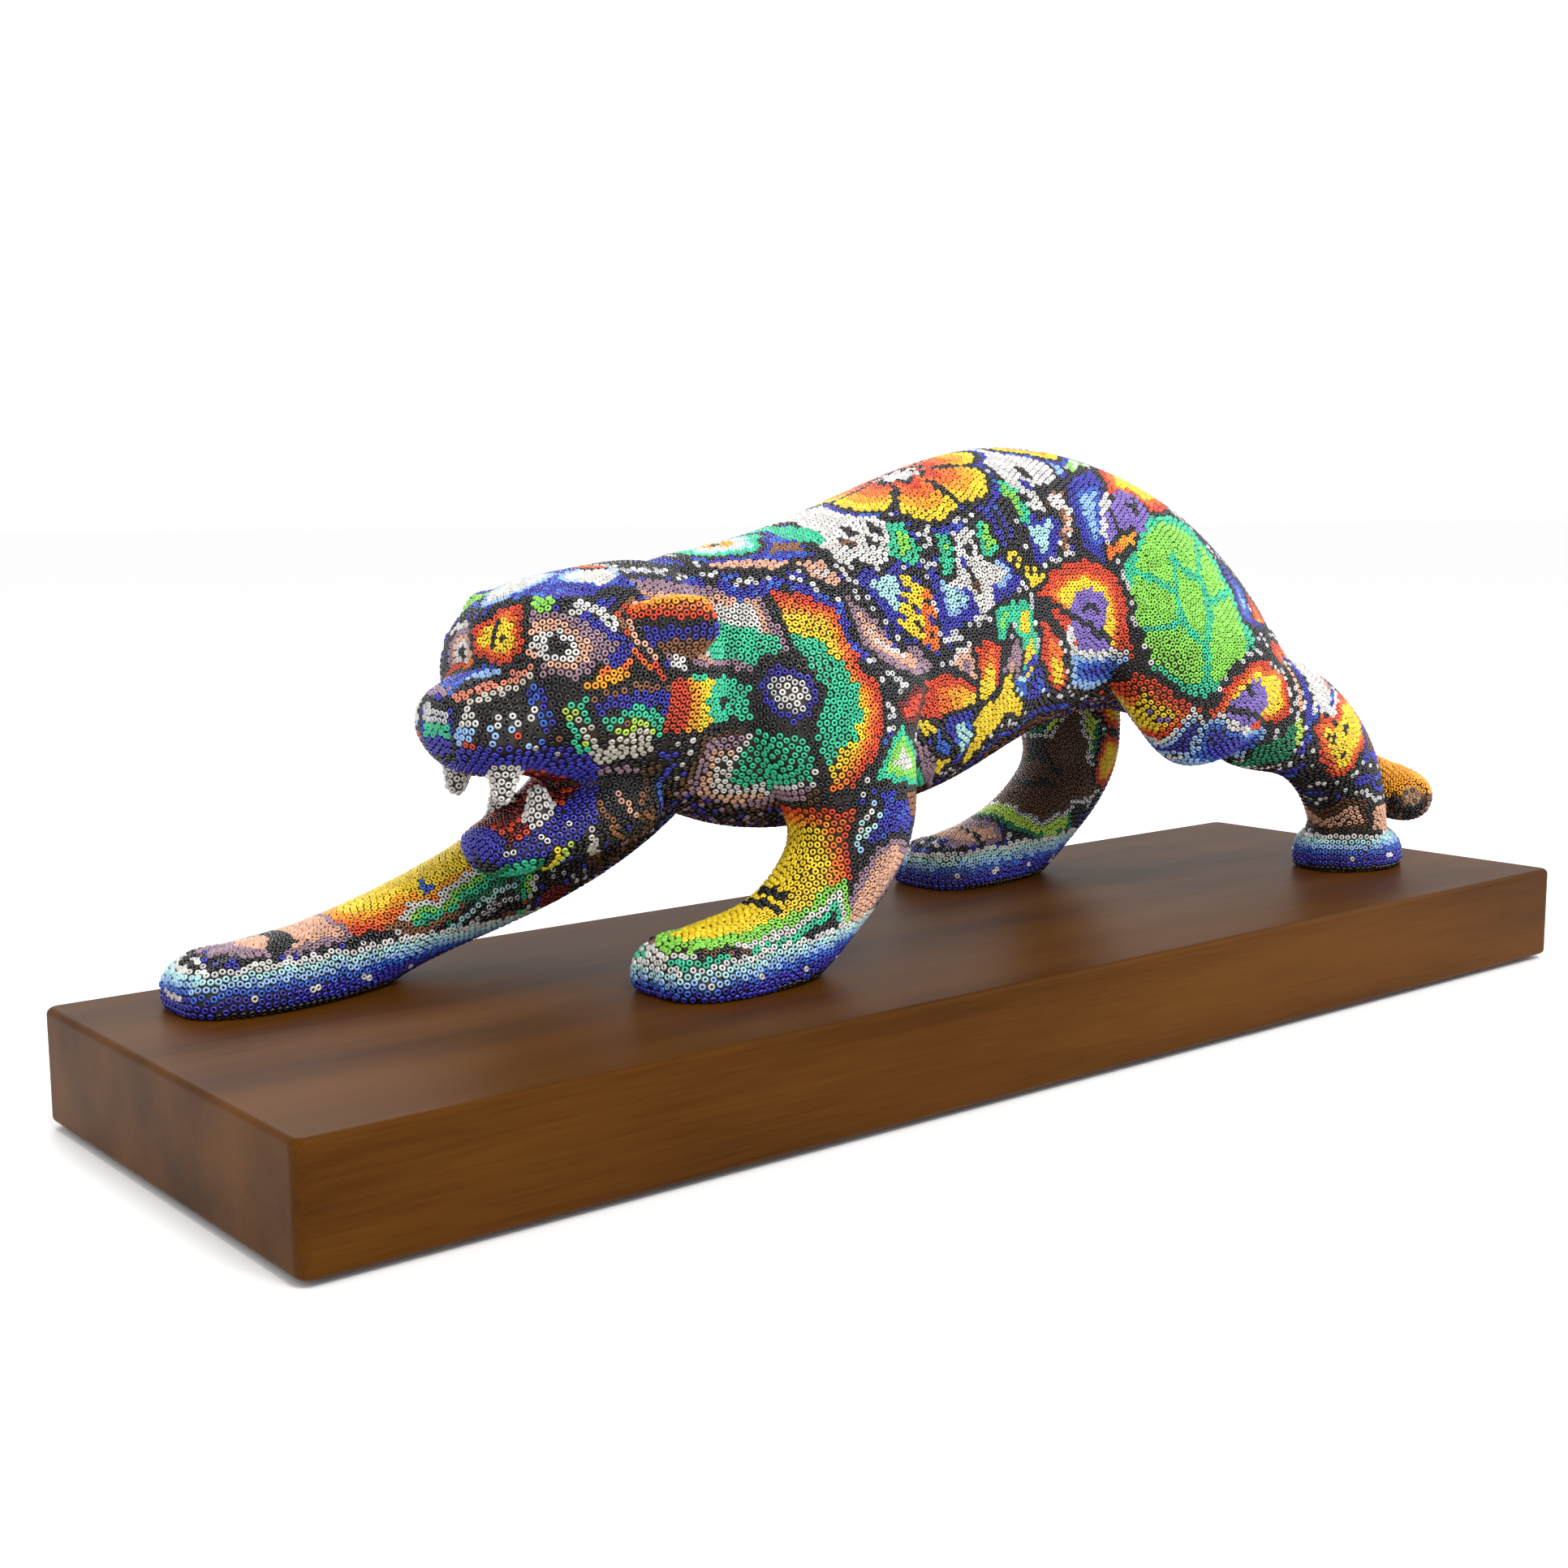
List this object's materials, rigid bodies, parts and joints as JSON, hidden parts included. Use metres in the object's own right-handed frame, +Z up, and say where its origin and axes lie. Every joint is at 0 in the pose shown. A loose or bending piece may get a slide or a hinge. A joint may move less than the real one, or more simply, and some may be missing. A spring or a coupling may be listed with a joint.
{
  "type": "huichol beaded figure",
  "caption": "Stalking, snarling big cat carved in wood, coated all over in wax-set glass seed beads in bright motifs, on a thick dark wooden plinth.",
  "frame": {"origin": "centre of the plinth's footprint, on the surface it stands on", "axes": "+Z up, +X along the plinth from the cat's head to its tail, so the cat looks along -X and its left flank faces -Y"},
  "size_m": [0.38, 0.118, 0.1408],
  "materials": {
    "walnut_stain": "walnut stain under semi-gloss lacquer, fine grain along the length",
    "bare_wood": "carved light wood, unfinished",
    "peg_wood": "turned dowel, unfinished",
    "glass_beads": "opaque glossy glass seed beads in many colours, pressed hole-up into beeswax",
    "white_beads": "opaque white glass seed beads pressed into beeswax",
    "zinc_steel": "bright zinc-plated",
    "felt": "dark self-adhesive felt"
  },
  "bodies": {
    "root": {"plinth_board": "walnut_stain", "felt_pads": "felt", "paw_screws": "zinc_steel", "paw_washers": "zinc_steel", "torso_core": "bare_wood", "head_core": "bare_wood", "left_ear_core": "bare_wood", "right_ear_core": "bare_wood", "front_left_leg_core": "bare_wood", "front_right_leg_core": "bare_wood", "hind_left_leg_core": "bare_wood", "hind_right_leg_core": "bare_wood", "tail_core": "bare_wood", "neck_peg": "peg_wood", "leg_pegs": "peg_wood", "tail_peg": "peg_wood", "ear_pegs": "peg_wood", "torso_beads": "glass_beads", "head_beads": "glass_beads", "left_ear_beads": "glass_beads", "right_ear_beads": "glass_beads", "front_left_leg_beads": "glass_beads", "front_right_leg_beads": "glass_beads", "hind_left_leg_beads": "glass_beads", "hind_right_leg_beads": "glass_beads", "tail_beads": "glass_beads", "upper_left_fang": "white_beads", "upper_right_fang": "white_beads", "lower_left_fang": "white_beads", "lower_right_fang": "white_beads"}
  },
  "joints": []
}
